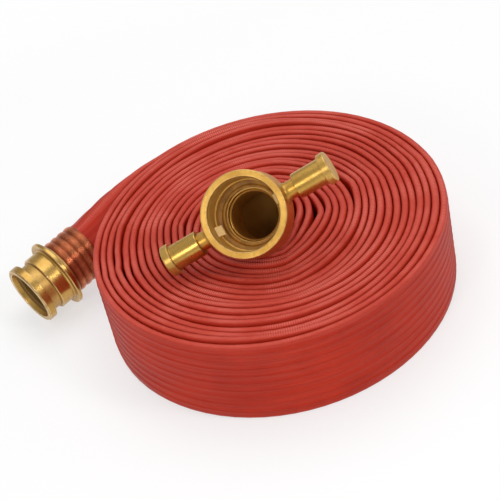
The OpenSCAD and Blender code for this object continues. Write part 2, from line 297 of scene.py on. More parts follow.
# The whole line of the hose, from the female collar through the roll to the male collar.
inner_end = smooth_route(
    [*roll_line[1::-1], *inner_route, *tail_knots(female_mouth, female_facing, female_collar)], end_spacing
)
outer_end = smooth_route(
    [*roll_line[-2:], *outer_route, *tail_knots(male_nose, male_facing, male_collar)], end_spacing
)
inner_lead = np.linalg.norm(roll_line[1, :3] - roll_line[0, :3])
outer_lead = np.linalg.norm(roll_line[-1, :3] - roll_line[-2, :3])
hose_line = np.concatenate([
    inner_end[int(inner_lead / end_spacing) + 2:][::-1],
    roll_line,
    outer_end[int(outer_lead / end_spacing) + 2:],
])
hose_way = np.append(0, np.cumsum(np.linalg.norm(np.diff(hose_line[:, :3], axis=0), axis=1)))
hose_along = unit(np.gradient(hose_line[:, :3], hose_way, axis=0))
hose_side = unit(np.cross(hose_along, [0, 0, 1]))
hose_round = (hose_line[:, 3:] - opening_thickness) / (tied_thickness - opening_thickness)
hose_round = np.clip(hose_round, 0, 1)
hose_up = unit((1 - hose_round) * [0, 0, 1] + hose_round * np.cross(hose_side, hose_along))
hose_outline = (1 - hose_round) * flat_outline + hose_round * tied_outline

# Columns round the section: each raised rib has three on the face that is turned out and two on the face
# that is turned in. They are even over the folds, and the upper fold, which is seen, has more.
rib_count = 9
rib_pitch = 0.0104
rib_foot = 0.0008
rib_height = 0.0007
round_rib_share = 0.25
face_sink = 0.00045
fold_squareness = 0.32
upper_columns = 9
upper_reach = 0.0062
lower_columns = 6
lower_reach = 0.006
inner_skip = 3
rib_places = (np.arange(rib_count) - (rib_count - 1) / 2)[:, None] * rib_pitch
outer_face = (rib_places + rib_foot * np.arange(-1, 2)).ravel()
inner_face = (rib_places + rib_pitch / 4 * np.array([-1, 1])).ravel()
jacket_columns = np.concatenate([
    outer_face,
    flat_outline / 4 + np.linspace(-1, 1, upper_columns) * upper_reach,
    flat_outline / 2 + inner_face,
    flat_outline * 3 / 4 + np.linspace(-1, 1, lower_columns) * lower_reach,
])
jacket_crests = np.concatenate([
    np.tile([0.0, 1.0, 0.0], rib_count),
    np.zeros(upper_columns),
    np.tile([0.0, 1.0], rib_count),
    np.zeros(lower_columns),
])


def hose_surface(rings, columns, inset, crests=0.0):
    """Points of the hose's skin, inset from its outer face, as an array of rings by columns. A section is
    a slot of the ring's thickness: along each fold its normal turns through half a circle, and along each
    flat face the middle of the slot moves instead. Where the hose is flat, the half circles are squared
    off by a power of their sine and cosine. The faces sink in between the folds, and crests stand up."""
    thickness = hose_line[rings, 3][:, None]
    outline = hose_outline[rings]
    flat = 1 - hose_round[rings]
    fraction = (columns / flat_outline) % 1
    face = (outline - np.pi * thickness) / 2
    fold = np.pi * thickness / 2
    way = fraction * outline
    turn = np.clip(way - face / 2, 0, fold) + np.clip(way - 1.5 * face - fold, 0, fold)
    turn = turn / (thickness / 2)
    middle = (
        np.clip(way, 0, face / 2)
        - np.clip(way - face / 2 - fold, 0, face)
        + np.clip(way - 1.5 * face - 2 * fold, 0, face / 2)
    )
    from_face = np.abs((4 * fraction + 1) % 2 - 1)
    sink = face_sink * flat * (1 - from_face**6)
    crest = rib_height * crests * (round_rib_share + (1 - round_rib_share) * flat)
    reach = thickness / 2 - inset - sink + crest
    squared = 1 - fold_squareness * flat
    offset_side = reach * np.sign(np.cos(turn)) * np.abs(np.cos(turn)) ** squared
    offset_up = reach * np.sign(np.sin(turn)) * np.abs(np.sin(turn)) ** squared + middle
    return (
        hose_line[rings, None, :3]
        + hose_side[rings, None] * offset_side[..., None]
        + hose_up[rings, None] * offset_up[..., None]
    )


def grid_corners(rows, columns, closed_rows=False):
    """Row and column of the four corners of each quad of a grid that is closed across its columns,
    counted on past the seam. A quad's normal is the way along rows crossed with that along columns."""
    count = rows if closed_rows else rows - 1
    i, j = np.meshgrid(np.arange(count), np.arange(columns), indexing="ij")
    row = np.stack([i, i + 1, i + 1, i], -1).reshape(-1, 4)
    column = np.stack([j, j, j + 1, j + 1], -1).reshape(-1, 4)
    return row, column


def make_piece(name, finish, points, faces, uv, marks):
    """A smooth mesh object at the origin, with its finish. uv holds a pair for each corner of each face,
    in their order, and marks holds named lists of one number for each point, for the finish to read."""
    mesh = bpy.data.meshes.new(name)
    mesh.from_pydata(np.asarray(points).reshape(-1, 3).tolist(), [], faces)
    mesh.shade_smooth()
    mesh.materials.append(finish)
    mesh.uv_layers.new(name="surface").data.foreach_set("uv", np.asarray(uv, np.float32).ravel())
    for mark, values in marks.items():
        layer = mesh.attributes.new(mark, "FLOAT", "POINT")
        layer.data.foreach_set("value", np.asarray(values, np.float32).ravel())
    piece = bpy.data.objects.new(name, mesh)
    scene.collection.objects.link(piece)
    return piece


def hose_tube(name, finish, columns, outer_inset, inner_inset, skip, crests=0.0):
    """A hollow tube along the hose: an outer skin, an inner skin with one of every few of its columns, by
    skip, and a ring of faces that joins the two at each end."""
    count = len(hose_line)
    rings = np.arange(count)
    inner_columns = columns[::skip]
    many, few = len(columns), len(inner_columns)
    outer = hose_surface(rings, columns, outer_inset, crests)
    inner = hose_surface(rings, inner_columns, inner_inset)
    first = count * many
    row, column = grid_corners(count, many)
    outer_faces = row * many + column % many
    outer_across = np.append(columns, columns[0] + flat_outline)
    outer_uv = np.stack([hose_way[row], outer_across[column]], -1)
    row, column = grid_corners(count, few)
    inner_faces = (first + row * few + column % few)[:, ::-1]
    inner_across = np.append(inner_columns, columns[0] + flat_outline)
    inner_uv = np.stack([hose_way[row], inner_across[column]], -1)[:, ::-1]
    j = np.arange(few)[:, None]
    end_outer = (skip * j + np.arange(skip + 1)) % many
    end_inner = first + (j + np.array([1, 0])) % few
    start_faces = np.hstack([end_outer, end_inner])
    stop_faces = np.hstack([(count - 1) * many + end_outer, (count - 1) * few + end_inner])[:, ::-1]
    faces = [*outer_faces.tolist(), *inner_faces.tolist(), *start_faces.tolist(), *stop_faces.tolist()]
    end_uv = np.zeros((start_faces.size + stop_faces.size, 2))
    uv = np.concatenate([outer_uv.reshape(-1, 2), inner_uv.reshape(-1, 2), end_uv])
    points = np.concatenate([outer.reshape(-1, 3), inner.reshape(-1, 3)])
    fold_share = np.abs((4 * columns / flat_outline + 1) % 2 - 1)
    fold_mark = np.concatenate([np.tile(fold_share, count), np.zeros(count * few)])
    return make_piece(name, finish, points, faces, uv, {"fold": fold_mark})


def colour(red, green, blue):
    """Linear colour of an sRGB one that is given from 0 to 255."""
    value = np.array([red, green, blue]) / 255
    linear = np.where(value <= 0.04045, value / 12.92, ((value + 0.055) / 1.055) ** 2.4)
    return (*linear.tolist(), 1.0)


def new_finish(name, **constants):
    """A material and its shader, with the values that are the same all over set on its own sockets."""
    material = bpy.data.materials.new(name)
    material.use_nodes = True
    shader = material.node_tree.nodes["Principled BSDF"]
    for socket, value in constants.items():
        shader.inputs[socket.replace("_", " ")].default_value = value
    return material, shader


def add_node(material, kind, inputs=(), **settings):
    """A node of the material. inputs maps its sockets to values, or to the sockets that feed them."""
    node = material.node_tree.nodes.new(kind)
    for setting, value in settings.items():
        setattr(node, setting, value)
    for socket, value in dict(inputs).items():
        if isinstance(value, bpy.types.NodeSocket):
            material.node_tree.links.new(value, node.inputs[socket])
        else:
            node.inputs[socket].default_value = value
    return node


def sums(material, operation, first, second):
    """The result of a sum on two numbers or sockets."""
    return add_node(material, "ShaderNodeMath", {0: first, 1: second}, operation=operation).outputs[0]


def graded(material, value, low, high, at=(0.0, 1.0)):
    """A number or socket carried from the range at onto the range from low to high, and held there."""
    return add_node(
        material, "ShaderNodeMapRange",
        {"Value": value, "From Min": at[0], "From Max": at[1], "To Min": low, "To Max": high},
    ).outputs[0]


def mixed(material, share, first, second):
    """Two colours mixed by share."""
    node = add_node(material, "ShaderNodeMix", {"Factor": share}, data_type="RGBA")
    for socket, value in ((node.inputs[6], first), (node.inputs[7], second)):
        if isinstance(value, bpy.types.NodeSocket):
            material.node_tree.links.new(value, socket)
        else:
            socket.default_value = value
    return node.outputs[2]


def grain(material, vector, scale, detail=3.0, roughness=0.55):
    """Noise of so many lumps to a metre of the vector."""
    return add_node(
        material, "ShaderNodeTexNoise",
        {"Vector": vector, "Scale": scale, "Detail": detail, "Roughness": roughness},
    ).outputs["Fac"]


def stretched(material, vector, scale):
    """A vector scaled by a different number on each axis."""
    return add_node(material, "ShaderNodeMapping", {"Vector": vector, "Scale": scale}).outputs["Vector"]


def connect(material, output, socket):
    """Feeds a socket of the shader."""
    material.node_tree.links.new(output, socket)


jacket_finish, shader = new_finish("red_coated_weave", Specular_IOR_Level=0.2)
cloth = add_node(jacket_finish, "ShaderNodeTexCoord").outputs["UV"]
space = add_node(jacket_finish, "ShaderNodeTexCoord").outputs["Object"]
cloth_axes = add_node(jacket_finish, "ShaderNodeSeparateXYZ", {"Vector": cloth}).outputs
warp_threads = 640
weft_threads = 400
warp, weft = (
    sums(jacket_finish, "SINE", sums(jacket_finish, "MULTIPLY", cloth_axes[axis], threads * 2 * np.pi), 0)
    for axis, threads in (("Y", warp_threads), ("X", weft_threads))
)
weave = graded(jacket_finish, sums(jacket_finish, "MULTIPLY", warp, weft), 0, 1, (-1, 1))
fold_mark = add_node(jacket_finish, "ShaderNodeAttribute", attribute_name="fold").outputs["Fac"]
fold_edge = graded(jacket_finish, fold_mark, 0, 1, (0.86, 1.0))
blotch = grain(jacket_finish, space, 18, 4)
streak = grain(jacket_finish, stretched(jacket_finish, cloth, (9, 260, 1)), 1, 4)
speck = grain(jacket_finish, space, 900, 2)
jacket_red = colour(201, 51, 26)
jacket_dark = colour(178, 36, 13)
# The worn colour is also a painted highlight where the fold edges catch the light.
jacket_wear_and_highlight = colour(219, 91, 74)
jacket_bead_highlight = colour(240, 142, 130)
tone = mixed(jacket_finish, graded(jacket_finish, blotch, 0, 1, (0.3, 0.7)), jacket_dark, jacket_red)
tone = mixed(jacket_finish, graded(jacket_finish, streak, 0, 0.35, (0.45, 0.75)), tone, jacket_wear_and_highlight)
# Painted highlights: pale dots along the weft on the fold crowns, where the weave glints.
fold_crown = graded(jacket_finish, fold_mark, 0, 1, (0.93, 0.99))
bead_highlights = sums(jacket_finish, "MULTIPLY", fold_crown, graded(jacket_finish, weft, 0, 1, (-0.2, 0.9)))
bead_highlights = sums(jacket_finish, "MULTIPLY", bead_highlights, graded(jacket_finish, blotch, 0.05, 0.85, (0.42, 0.62)))
# Paler on the fold edges: partly rubbed wear, and partly a painted highlight on the folds.
rubbed_and_lit = graded(jacket_finish, speck, 0.3, 0.8, (0.35, 0.65))
wear_and_highlight_share = sums(jacket_finish, "MULTIPLY", fold_edge, rubbed_and_lit)
tone = mixed(jacket_finish, wear_and_highlight_share, tone, jacket_wear_and_highlight)
tone = mixed(jacket_finish, bead_highlights, tone, jacket_bead_highlight)
# Darker where the weave's bump is low: painted shade in the hollows between the threads.
tone = mixed(jacket_finish, graded(jacket_finish, weave, 0.32, 0), tone, jacket_dark)
connect(jacket_finish, tone, shader.inputs["Base Color"])
connect(jacket_finish, graded(jacket_finish, blotch, 0.36, 0.5, (0.3, 0.7)), shader.inputs["Roughness"])
bump = add_node(jacket_finish, "ShaderNodeBump", {"Height": weave, "Strength": 0.6, "Distance": 0.0005})
bump = add_node(
    jacket_finish, "ShaderNodeBump",
    {"Height": streak, "Strength": 0.25, "Distance": 0.0006, "Normal": bump.outputs["Normal"]},
)
connect(jacket_finish, bump.outputs["Normal"], shader.inputs["Normal"])

jacket = hose_tube(
    "hose_jacket", jacket_finish, jacket_columns, 0.0, jacket_wall, inner_skip, jacket_crests
)
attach(jacket, "root")
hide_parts("hose_roll", "hose_outer_end", "hose_inner_end")


# Hose lining
# A thin brown rubber tube that keeps the water in. It lies flat inside the jacket and is bonded to it,
# and its ends are pressed on the tails with the jacket.
lining_wall = 0.0007
lining_slip = 0.00005
lining_columns = jacket_columns[::inner_skip]
lining_finish, shader = new_finish("brown_rubber_lining", Roughness=0.4, Specular_IOR_Level=0.5)
space = add_node(lining_finish, "ShaderNodeTexCoord").outputs["Object"]
dust = graded(lining_finish, grain(lining_finish, space, 60), 0, 0.5, (0.4, 0.8))
tone = mixed(lining_finish, dust, colour(172, 126, 60), colour(194, 148, 80))
connect(lining_finish, tone, shader.inputs["Base Color"])
lining_top = jacket_wall + lining_slip
lining_bottom = lining_top + lining_wall
lining = hose_tube("hose_lining", lining_finish, lining_columns, lining_top, lining_bottom, skip=1)
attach(lining, "root")
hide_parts("lining_roll", "lining_outer_end", "lining_inner_end")


# Male coupling body
# Turned from one piece of brass: a lip that the mating teeth hook behind, a groove, a band and a thin
# flange. Its ridged tail is inside the hose, and the water runs straight through it. An outline's corners
# are radius and height in millimetres, with the open face at height 0, and how dull the metal is there,
# which where it is highest also darkens the metal as painted shade.
male_outline = [
    [31, 0, 0.1], [35, 0, 0], [36.5, -1.5, 0.05], [36.5, -10, 0.05], [30.5, -10.8, 0.3], [30.5, -22, 0.3],
    [33.2, -22, 0.05], [34, -22.8, 0.06], [34, -38, 0.06], [36, -40, 0.1], [41.2, -40, 0], [42, -40.8, 0],
    [42, -44.2, 0], [41.2, -45, 0], [33.5, -45, 0.3], [33.5, -49.5, 0.3],
]
# The bore is marked nearly fully dull, which darkens it as painted shade inside the nose.
male_bore = [[26, -20, 0.9], [26.9, -8.4, 0.9], [29, -7.2, 0.9], [29.3, -6.1, 0.8], [29.6, -5, 0.1]]
tail_ridges = 4
coupling_sides = 96


def axes_of(heading, elevation, spin=0.0):
    """Axes of a coupling as the columns of a matrix. The third points out of its open face, by heading
    and elevation in degrees, and spin turns the other two about it."""
    return np.array(
        Matrix.Rotation(np.radians(heading), 3, "Z")
        @ Matrix.Rotation(np.radians(90 - elevation), 3, "Y")
        @ Matrix.Rotation(np.radians(spin), 3, "Z")
    )


def tail_outline(collar):
    """Corners of a ridged tail behind a collar, down to its open end: a row of saw teeth, each of which
    is given by its foot, the end of its slope and the end of its crest."""
    bore, foot, crest = 26, 27.6, 28.4
    start = -1000 * collar
    stop = start - 1000 * tail_length
    pitch = (start - stop) / tail_ridges
    saw_tooth = ((foot, 0), (crest, 0.7), (crest, 0.9))
    # The ridges are marked half dull, which darkens them slightly as painted shade inside the hose.
    ridges = [[r, start - pitch * (i + share), 0.5] for i in range(tail_ridges) for r, share in saw_tooth]
    return [*ridges, [foot, stop, 0.5], [bore, stop, 0.3]]


def rounded(corners, radius, closed=True):
    """Rows of radius, height, edge and dullness in metres, along an outline that is given by its corners
    in millimetres. Each corner gives way to a parabola that starts on one of its sides and stops on the
    other, so far off as radius, but within a share of the shorter side. One more row just beyond it at
    either end keeps the sides flat. Edge is 1 on a square corner that stands out and -1 in a hollow."""
    side_share = 0.3
    row_beyond = 0.4
    corners = np.array(corners, float) * [0.001, 0.001, 1]
    shape = corners[:, :2]
    back = np.roll(shape, 1, 0) - shape
    ahead = np.roll(shape, -1, 0) - shape
    reach = np.minimum(np.linalg.norm(back, axis=1), np.linalg.norm(ahead, axis=1))
    cut = np.minimum(np.array(radius) * 0.001, side_share * reach)[:, None]
    back, ahead = unit(back), unit(ahead)
    start, stop = shape + cut * back, shape + cut * ahead
    f = np.linspace(0, 1, 4)[:, None]
    curve = (1 - f) ** 2 * start[:, None] + 2 * f * (1 - f) * shape[:, None] + f**2 * stop[:, None]
    before, after = start + row_beyond * cut * back, stop + row_beyond * cut * ahead
    rows = np.concatenate([before[:, None], curve, after[:, None]], 1)
    per_corner = rows.shape[1]
    bend = back[:, 0] * ahead[:, 1] - back[:, 1] * ahead[:, 0]
    edge = bend[:, None] * [0, 0, 1, 1, 0, 0]
    dull_and_shaded = np.repeat(corners[:, 2:], per_corner, 1)
    rows = np.concatenate([rows, edge[..., None], dull_and_shaded[..., None]], 2).reshape(-1, 4)
    if not closed:
        first, last = ([[*corners[i, :2], 0, corners[i, 2]]] for i in (0, -1))
        rows = np.concatenate([first, rows[per_corner:-per_corner], last])
    step = np.linalg.norm(rows[:, :2] - np.roll(rows[:, :2], 1, 0), axis=1)
    return rows[step > 1e-7]


def grid_shell(grid, marks, closed=False):
    """A shell over a grid of points that is closed across its columns: the points, the faces, the uv of
    their corners, and edge and dull marks. Its rows are closed as well, or end in two small discs."""
    rows, around = grid.shape[:2]
    points = grid.reshape(-1, 3)
    row, column = grid_corners(rows, around, closed)
    faces = (row % rows * around + column % around).tolist()
    way = np.append(0, np.cumsum(np.linalg.norm(np.roll(grid, -1, 0)[:, 0] - grid[:, 0], axis=1)))
    uv = np.stack([column * 2 * np.pi / around, way[row]], -1).reshape(-1, 2)
    if not closed:
        faces += [list(range(around)), list(range(len(points) - 1, len(points) - 1 - around, -1))]
        uv = np.concatenate([uv, np.zeros((2 * around, 2))])
    return points, faces, uv, np.broadcast_to(marks, (rows, around, 2)).reshape(-1, 2)


def lathe(rows, angle, closed=True):
    """A shell turned about the third axis: the rows of an outline at each of the angles, in radians."""
    grid = np.stack([
        rows[:, :1] * np.cos(angle), rows[:, :1] * np.sin(angle), np.repeat(rows[:, 1:2], len(angle), 1)
    ], -1)
    return grid_shell(grid, rows[:, None, 2:], closed)


def even_turn(sides):
    """So many angles, evenly round a circle."""
    return 2 * np.pi * np.arange(sides) / sides


def place_piece(name, finish, shells, axes, origin):
    """One piece made of closed shells that share a frame, given by its axes and its origin."""
    points, faces, uv, marks = zip(*shells)
    starts = np.cumsum([0, *map(len, points)]).tolist()
    numbered = [
        [start + corner for corner in face] for start, shell in zip(starts, faces) for face in shell
    ]
    marks = np.concatenate(marks)
    return make_piece(
        name, finish, np.concatenate(points) @ axes.T + origin, numbered, np.concatenate(uv),
        {"edge": marks[:, 0], "dull_and_shaded": marks[:, 1]},
    )


def metal_finish(name, tone, shade, pale, deep, roughness, turning):
    """A metal: tone clouded with shade, with turning marks round it of a strength from 0 to 1. It is pale
    on the corners that stand out, which is wear and a painted highlight, and deep in hollows, which is
    painted shade. It is tarnished where the piece is marked dull, and darkened as painted shade where it
    is most dull."""
    finish, shader = new_finish(name)
    surface = add_node(finish, "ShaderNodeTexCoord").outputs["UV"]
    space = add_node(finish, "ShaderNodeTexCoord").outputs["Object"]
    edge = add_node(finish, "ShaderNodeAttribute", attribute_name="edge").outputs["Fac"]
    dull_and_shaded = add_node(finish, "ShaderNodeAttribute", attribute_name="dull_and_shaded").outputs["Fac"]
    cloud = grain(finish, space, 26, 5, 0.6)
    grime = grain(finish, space, 240, 4, 0.65)
    turned = grain(finish, stretched(finish, surface, (0.5, 2200, 1)), 1, 2)
    blend = mixed(finish, graded(finish, cloud, 0, 0.75, (0.38, 0.66)), tone, shade)
    blend = mixed(finish, graded(finish, grime, 0, 0.35, (0.52, 0.75)), blend, deep)
    clean = graded(finish, grime, 1, 0.3, (0.4, 0.6))
    # Pale on corners that stand out, less where grimy or dull: wear, and partly a painted highlight.
    raised = sums(finish, "MULTIPLY", graded(finish, edge, 0, 0.8), clean)
    raised = sums(finish, "MULTIPLY", raised, graded(finish, dull_and_shaded, 1, 0.25, (0, 0.5)))
    blend = mixed(finish, raised, blend, pale)
    # Deep in hollows: painted shade.
    blend = mixed(finish, graded(finish, edge, 0.65, 0, (-1, 0)), blend, deep)
    # Deep where the piece is most dull, in bores, chambers and pockets: painted shade.
    blend = mixed(finish, graded(finish, dull_and_shaded, 0, 0.85, (0.4, 1.0)), blend, deep)
    connect(finish, blend, shader.inputs["Base Color"])
    connect(finish, graded(finish, dull_and_shaded, 1, 0.4, (0, 0.5)), shader.inputs["Metallic"])
    rough = graded(finish, cloud, roughness - 0.05, roughness + 0.09, (0.3, 0.7))
    rough = sums(finish, "ADD", rough, graded(finish, turned, -0.06 * turning, 0.1 * turning, (0.3, 0.7)))
    rough = sums(finish, "ADD", rough, graded(finish, dull_and_shaded, 0, 0.4))
    connect(finish, rough, shader.inputs["Roughness"])
    bump = add_node(
        finish, "ShaderNodeBump", {"Height": turned, "Strength": 0.5 * turning, "Distance": 0.00006}
    )
    bump = add_node(
        finish, "ShaderNodeBump",
        {"Height": grime, "Strength": 0.06, "Distance": 0.0002, "Normal": bump.outputs["Normal"]},
    )
    connect(finish, bump.outputs["Normal"], shader.inputs["Normal"])
    return finish


male_axes = axes_of(*male_facing)
# Its pale colour on corners that stand out, such as the flange's rim, is partly edge wear and partly a
# painted highlight.
male_finish = metal_finish(
    "male_brass", tone=colour(210, 168, 92), shade=colour(166, 124, 54), pale=colour(254, 244, 216),
    deep=colour(96, 64, 16), roughness=0.24, turning=0.3,
)
male_rows = rounded([*male_outline, *tail_outline(male_collar), *male_bore], radius=0.8)
male_shell = lathe(male_rows, even_turn(coupling_sides))
male_body = place_piece("male_body", male_finish, [male_shell], male_axes, male_nose)
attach(male_body, "root")
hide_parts("male_coupling_body")


# Male binding
# Annealed copper wire wound tightly round the sleeve, in close turns that sink between the tail's ridges.
# Its two ends are tucked under the last turns.
wire_diameter = 0.00125
wire_turns = 31
wire_steps = 28
wire_sides = 10
wire_stray = 0.00005
pitch_stray = 0.00006
binding_radius = 0.03095
binding_start = 0.0005
ridge_swell = 0.0018
tuck_depth = 0.0011
tuck_turn = 1 / 3


def wire_shell(line, radius, sides, edge=0.0):
    """A shell along a line that winds about the third axis. A ring of so many sides stands across the
    line at each point, starts on the side away from the axis and has that point's edge mark."""
    along = unit(np.gradient(line, axis=0))
    out = unit(np.cross(along, [0, 0, 1]))
    up = np.cross(out, along)
    angle = even_turn(sides)[:, None]
    marks = np.zeros((len(line), 1, 2))
    marks[:, 0, 0] = edge
    across = np.cos(angle) * out[:, None] + np.sin(angle) * up[:, None]
    return grid_shell(line[:, None] + radius * across, marks)


def binding_line(collar, seed):
    """Middle of the binding wire and its edge marks: a helix down the sleeve. Its radius swells as a sine
    over each ridge of the tail, wavers a little, and drops under the turns next to it in a part of the
    last turn at each end. The edge marks paint a highlight on the wire over the ridges and shade on it
    between them."""
    turn = np.linspace(0, wire_turns - 1, wire_steps * (wire_turns - 1) + 1)
    ridge = np.abs(np.sin(np.pi * tail_ridges * (turn + 0.5) / wire_turns))
    from_end = np.minimum(turn, wire_turns - 1 - turn)
    radius = binding_radius + wire_diameter / 2 + ridge_swell * ridge
    radius += wire_stray * wander(turn, length=0.9, seed=seed)
    radius -= tuck_depth * np.clip(1 - from_end / tuck_turn, 0, 1) ** 2
    height = -collar - binding_start - wire_diameter * (turn + 0.5)
    height += pitch_stray * wander(turn, length=1.3, seed=seed + 1)
    angle = 2 * np.pi * turn
    return np.column_stack([radius * np.cos(angle), radius * np.sin(angle), height]), 1.2 * ridge - 0.8


# Its pale and deep colours, set by the wire's edge marks, are a painted highlight on the ridges and painted
# shade between them.
copper_finish = metal_finish(
    "copper_wire", tone=colour(222, 132, 88), shade=colour(172, 90, 56), pale=colour(240, 176, 136),
    deep=colour(96, 42, 24), roughness=0.22, turning=0.0,
)
male_line, male_wire_shading = binding_line(male_collar, seed=21)
male_coil = wire_shell(male_line, wire_diameter / 2, wire_sides, male_wire_shading)
male_wire = place_piece("male_binding", copper_finish, [male_coil], male_axes, male_nose)
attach(male_wire, "root")
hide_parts("male_binding_wire")


# Female coupling body
# A brass cup that takes the mating lip, with a seat for the seal ring behind it. On both sides a drilled
# boss carries a spring-loaded tooth, which looks into the cup through a window in its wall. The ridged
# tail is inside the hose.
window_rows = (-25.65, -16.35)
cup_outline = [
    [39.8, 0, 0.2], [46, 0, 0.2], [47, -1, 0], [47, -33, 0], [44, -40, 0], [38, -46, 0.1], [33.5, -48, 0.3],
    [33.5, -51, 0.3],
]
cup_bore = [
    [26, -48, 0.3], [28.2, -46.33, 0], [28.2, -42.3, 0.4], [40.5, -42.3, 0.4], [40.5, -36.5, 0.4],
    [37, -36.5, 0.4], [37, -26.5, 0.4], [38.5, -25.8, 0.4], *([38.5, row, 0.4] for row in window_rows),
    [38.5, -5, 0.4],
]
cup_radius = 0.047
taper_start = 0.033
taper_length = 0.007
taper_drop = 0.003
bore_radius = 0.0385
window_half_width = 0.00565
window_half_turn = np.arcsin(window_half_width / bore_radius)
window_depth = 0.046
# The window pockets are marked nearly fully dull, which darkens them as painted shade.
window_dull_and_shaded = 0.9
window_clear_turn = 0.02
lugs = {"left": 180, "right": 0}
lug_spin = 118.7
lug_depth = 0.021
# The chamber's floor is marked dull, which darkens it a little as painted shade.
boss_outline = [[0.3, 48, 0.6], [7.5, 48, 0.6], [7.5, 80.6, 0.3], [10, 80.6, 0], [10, 53, 0]]
boss_radius = 0.010
boss_fillet = 0.004
fillet_rows = 7
fillet_marks = (-0.35, 0.1)
boss_hub = 0.0003
boss_sink = 0.0012
boss_sides = 48


def cut_windows(shell, rows, angle):
    """Opens the two windows in the cup's wall, between heights and angles that its grid has. The quads
    there give way to pockets with flat floors, whose sides run straight out along the first axis."""
    points, faces, uv, marks = shell
    around = len(angle)
    low, high = (
        int(np.argmin(np.hypot(rows[:, 0] - bore_radius, rows[:, 1] - 0.001 * height)))
        for height in window_rows
    )
    row, column = np.divmod(np.arange(len(faces)), around)
    kept = np.ones(len(faces), bool)
    pockets = []
    i = np.arange(low, high)
    for sign, middle in ((1, 0), (-1, np.pi)):
        left, right = (int(np.argmin(np.abs(angle - middle - end * window_half_turn))) for end in (-1, 1))
        kept &= ~((row >= low) & (row < high) & (column >= left) & (column < right))
        j = np.arange(left, right)
        loop = np.concatenate([
            i * around + left, high * around + j, (i[::-1] + 1) * around + right, low * around + j[::-1] + 1
        ])
        bottom = len(points) + np.arange(len(loop))
        walls = np.stack([loop, np.roll(loop, -1), np.roll(bottom, -1), bottom], 1)
        pockets += [*walls.tolist(), bottom.tolist()]
        points = np.concatenate([points, points[loop] * [0, 1, 1] + [sign * window_depth, 0, 0]])
        marks = np.concatenate([marks, np.tile([0, window_dull_and_shaded], (len(loop), 1))])
    faces = [face for face, keep in zip(faces, kept) if keep] + pockets
    uv = uv.reshape(-1, 4, 2)[kept].reshape(-1, 2)
    return points, faces, np.concatenate([uv, np.zeros((sum(map(len, pockets)), 2))]), marks


def lug_axes(turn):
    """Axes of a lug in the cup's frame, as the columns of a matrix: the third points out of the cup's
    side, by turn in degrees, and the first points away from its mouth."""
    return np.array(Matrix.Rotation(np.radians(turn), 3, "Z") @ Matrix.Rotation(np.radians(90), 3, "Y"))


def boss_shell(turn):
    """A drilled boss in the cup's frame. From the chamber's floor it runs out along the chamber, round
    the end and back outside, over a quarter-circle fillet down to the cup's wall, and closes inside it."""
    angle = even_turn(boss_sides)
    rows = rounded(boss_outline, radius=0.6, closed=False)
    tube = lathe(rows, angle, closed=False)[0].reshape(len(rows), boss_sides, 3)
    bend = np.linspace(0, np.pi / 2, fillet_rows)
    skirt_radius = np.append(boss_radius + boss_fillet * (1 - np.cos(bend)), [boss_radius, boss_hub])
    skirt_rise = np.append(boss_fillet * (1 - np.sin(bend)), [-boss_sink, -boss_sink / 2])
    deep = skirt_radius[:, None] * np.cos(angle)
    across = skirt_radius[:, None] * np.sin(angle)
    tapered = np.clip(lug_depth + deep - taper_start, 0, taper_length) / taper_length
    wall = cup_radius - taper_drop * tapered
    skirt = np.stack([deep, across, np.sqrt(wall**2 - across**2) + skirt_rise[:, None]], -1)
    marks = np.concatenate([rows[:, 2:], np.tile(fillet_marks, (len(skirt), 1))])
    points, faces, uv, marks = grid_shell(np.concatenate([tube, skirt]), marks[:, None])
    return points @ lug_axes(turn).T - [0, 0, lug_depth], faces, uv, marks


female_axes = axes_of(*female_facing, lug_spin)
female_finish = metal_finish(
    "female_brass", tone=colour(226, 177, 88), shade=colour(196, 145, 61), pale=colour(250, 226, 168),
    deep=colour(112, 74, 18), roughness=0.32, turning=0.4,
)
cup_corners = [*cup_outline, *tail_outline(female_collar), *cup_bore]
cup_rows = rounded(cup_corners, radius=[0 if corner[1] in window_rows else 0.8 for corner in cup_corners])
window_edges = np.array([middle + end * window_half_turn for middle in (0, np.pi) for end in (-1, 1)])
cup_angle = even_turn(coupling_sides) - np.pi / 2
cup_angle = cup_angle[np.abs(cup_angle[:, None] - window_edges).min(1) > window_clear_turn]
cup_angle = np.sort(np.append(cup_angle, window_edges))
cup = cut_windows(lathe(cup_rows, cup_angle), cup_rows, cup_angle)
bosses = [boss_shell(lugs["right"]), boss_shell(lugs["left"])]
female_body = place_piece("female_body", female_finish, [cup, *bosses], female_axes, female_mouth)
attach(female_body, "root")
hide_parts("female_coupling_body")


# Female binding
# The same copper wire as on the other end. It is wound round the sleeve on the female tail, behind the
# cup, and its two ends are tucked in the same way.
female_line, female_wire_shading = binding_line(female_collar, seed=31)
female_coil = wire_shell(female_line, wire_diameter / 2, wire_sides, female_wire_shading)
female_wire = place_piece("female_binding", copper_finish, [female_coil], female_axes, female_mouth)
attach(female_wire, "root")
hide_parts("female_binding_wire")


